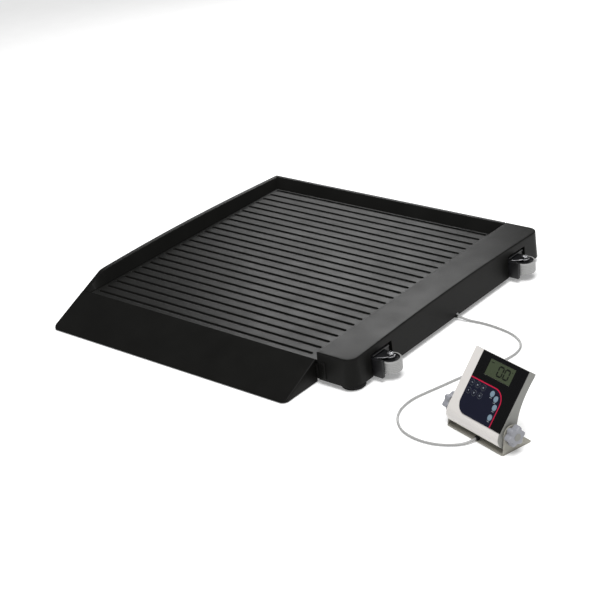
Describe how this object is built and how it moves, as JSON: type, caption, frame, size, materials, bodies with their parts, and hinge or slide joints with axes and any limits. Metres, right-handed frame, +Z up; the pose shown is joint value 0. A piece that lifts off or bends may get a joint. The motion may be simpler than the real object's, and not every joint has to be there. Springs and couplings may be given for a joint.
{
  "type": "animal weighing scale",
  "caption": "Low platform scale with a front ramp, raised side rails, side transport rollers and a cabled indicator on a tilting stand, for weighing animals.",
  "frame": {"origin": "on the floor, under the middle of the box round everything but the cable", "axes": "+Z up, +X from the platform towards the indicator, +Y from the ramp to the rear rail"},
  "size_m": [1.3276, 0.848, 0.1512],
  "materials": {
    "platform_plastic": "satin moulded, fine grain",
    "frame_steel": "black powder coat",
    "load_cell_aluminium": "milled and clear anodised",
    "plated_steel": "zinc plated",
    "bracket_paint": "black satin paint",
    "roller_tread": "moulded grey tread",
    "black_rubber": "matt",
    "white_plastic": "satin moulded",
    "grey_plastic": "fine texture",
    "stand_metal": "warm grey satin paint",
    "panel_film": "printed film, black and dark navy with a crimson line",
    "display_glass": "clear window",
    "display_module": "olive display with black digits",
    "circuit_board": "green solder mask",
    "battery_case": "moulded cell holder",
    "key_dark": "printed domed key",
    "key_blue": "printed domed key",
    "knob_plastic": "moulded star knob",
    "cable_sheath": "smooth sheath"
  },
  "bodies": {
    "platform": {"tread_plate": "platform_plastic", "ramp": "platform_plastic", "left_rail": "platform_plastic", "rear_rail": "platform_plastic", "side_housing": "platform_plastic", "carry_handle": "platform_plastic", "frame_left": "frame_steel", "frame_right": "frame_steel", "frame_front": "frame_steel", "frame_middle": "frame_steel", "frame_rear": "frame_steel", "junction_box": "grey_plastic", "junction_lid": "grey_plastic", "cable_gland": "plated_steel", "gland_boot": "black_rubber", "signal_cable": "cable_sheath", "stand_base": "stand_metal", "stand_side_left": "stand_metal", "stand_side_right": "stand_metal", "cable_grommet": "black_rubber", "tilt_washer_left": "black_rubber", "tilt_washer_right": "black_rubber", "roller_bracket_front": "bracket_paint", "roller_bolt_front": "plated_steel", "load_cell_front_left": "load_cell_aluminium", "foot_stud_front_left": "plated_steel", "foot_pad_front_left": "black_rubber", "load_cell_front_right": "load_cell_aluminium", "foot_stud_front_right": "plated_steel", "foot_pad_front_right": "black_rubber", "roller_bracket_rear": "bracket_paint", "roller_bolt_rear": "plated_steel", "load_cell_rear_left": "load_cell_aluminium", "foot_stud_rear_left": "plated_steel", "foot_pad_rear_left": "black_rubber", "load_cell_rear_right": "load_cell_aluminium", "foot_stud_rear_right": "plated_steel", "foot_pad_rear_right": "black_rubber"},
    "roller_front": {"roller_wheel_front": "roller_tread"},
    "roller_rear": {"roller_wheel_rear": "roller_tread"},
    "indicator": {"front_shell": "white_plastic", "rear_shell": "grey_plastic", "battery_door": "grey_plastic", "overlay_panel": "panel_film", "display_window": "display_glass", "display_module": "display_module", "circuit_board": "circuit_board", "battery_pack": "battery_case"},
    "knob_left": {"tilt_knob_left": "knob_plastic"},
    "knob_right": {"tilt_knob_right": "knob_plastic"},
    "button_key_1": {"key_1": "key_dark"},
    "button_key_2": {"key_2": "key_dark"},
    "button_key_3": {"key_3": "key_dark"},
    "button_key_4": {"key_4": "key_dark"},
    "button_key_5": {"key_5": "key_dark"},
    "button_key_6": {"key_6": "key_dark"},
    "button_function_key_1": {"function_key_1": "key_blue"},
    "button_function_key_2": {"function_key_2": "key_blue"},
    "button_function_key_3": {"function_key_3": "key_blue"},
    "button_function_key_4": {"function_key_4": "key_blue"}
  },
  "joints": [
    {"name": "roller_front_spin", "type": "hinge", "parent": "platform", "child": "roller_front", "pos_m": [0.2522, -0.214, 0.032], "axis": [0, 0, 1], "continuous": true},
    {"name": "roller_rear_spin", "type": "hinge", "parent": "platform", "child": "roller_rear", "pos_m": [0.2522, 0.318, 0.032], "axis": [0, 0, 1], "continuous": true},
    {"name": "indicator_tilt", "type": "hinge", "parent": "platform", "child": "indicator", "pos_m": [0.55907, -0.31963, 0.04], "axis": [0.9659, -0.2588, 0], "range_deg": [-35, 25]},
    {"name": "knob_left_turn", "type": "hinge", "parent": "indicator", "child": "knob_left", "pos_m": [0.46924, -0.29556, 0.04], "axis": [0.9659, -0.2588, 0], "range_deg": [-180, 0]},
    {"name": "knob_right_turn", "type": "hinge", "parent": "indicator", "child": "knob_right", "pos_m": [0.6489, -0.3437, 0.04], "axis": [0.9659, -0.2588, 0], "range_deg": [0, 180]},
    {"name": "key_1_press", "type": "slide", "parent": "indicator", "child": "button_key_1", "axis": [-0.1994, -0.7443, 0.6374], "range_m": [-0.0005, 0], "stiffness_N_per_m": 300, "springref_m": 0.0005},
    {"name": "key_2_press", "type": "slide", "parent": "indicator", "child": "button_key_2", "axis": [-0.1994, -0.7443, 0.6374], "range_m": [-0.0005, 0], "stiffness_N_per_m": 300, "springref_m": 0.0005},
    {"name": "key_3_press", "type": "slide", "parent": "indicator", "child": "button_key_3", "axis": [-0.1994, -0.7443, 0.6374], "range_m": [-0.0005, 0], "stiffness_N_per_m": 300, "springref_m": 0.0005},
    {"name": "key_4_press", "type": "slide", "parent": "indicator", "child": "button_key_4", "axis": [-0.1994, -0.7443, 0.6374], "range_m": [-0.0005, 0], "stiffness_N_per_m": 300, "springref_m": 0.0005},
    {"name": "key_5_press", "type": "slide", "parent": "indicator", "child": "button_key_5", "axis": [-0.1994, -0.7443, 0.6374], "range_m": [-0.0005, 0], "stiffness_N_per_m": 300, "springref_m": 0.0005},
    {"name": "key_6_press", "type": "slide", "parent": "indicator", "child": "button_key_6", "axis": [-0.1994, -0.7443, 0.6374], "range_m": [-0.0005, 0], "stiffness_N_per_m": 300, "springref_m": 0.0005},
    {"name": "function_key_1_press", "type": "slide", "parent": "indicator", "child": "button_function_key_1", "axis": [-0.1994, -0.7443, 0.6374], "range_m": [-0.0005, 0], "stiffness_N_per_m": 300, "springref_m": 0.0005},
    {"name": "function_key_2_press", "type": "slide", "parent": "indicator", "child": "button_function_key_2", "axis": [-0.1994, -0.7443, 0.6374], "range_m": [-0.0005, 0], "stiffness_N_per_m": 300, "springref_m": 0.0005},
    {"name": "function_key_3_press", "type": "slide", "parent": "indicator", "child": "button_function_key_3", "axis": [-0.1994, -0.7443, 0.6374], "range_m": [-0.0005, 0], "stiffness_N_per_m": 300, "springref_m": 0.0005},
    {"name": "function_key_4_press", "type": "slide", "parent": "indicator", "child": "button_function_key_4", "axis": [-0.1994, -0.7443, 0.6374], "range_m": [-0.0005, 0], "stiffness_N_per_m": 300, "springref_m": 0.0005}
  ]
}
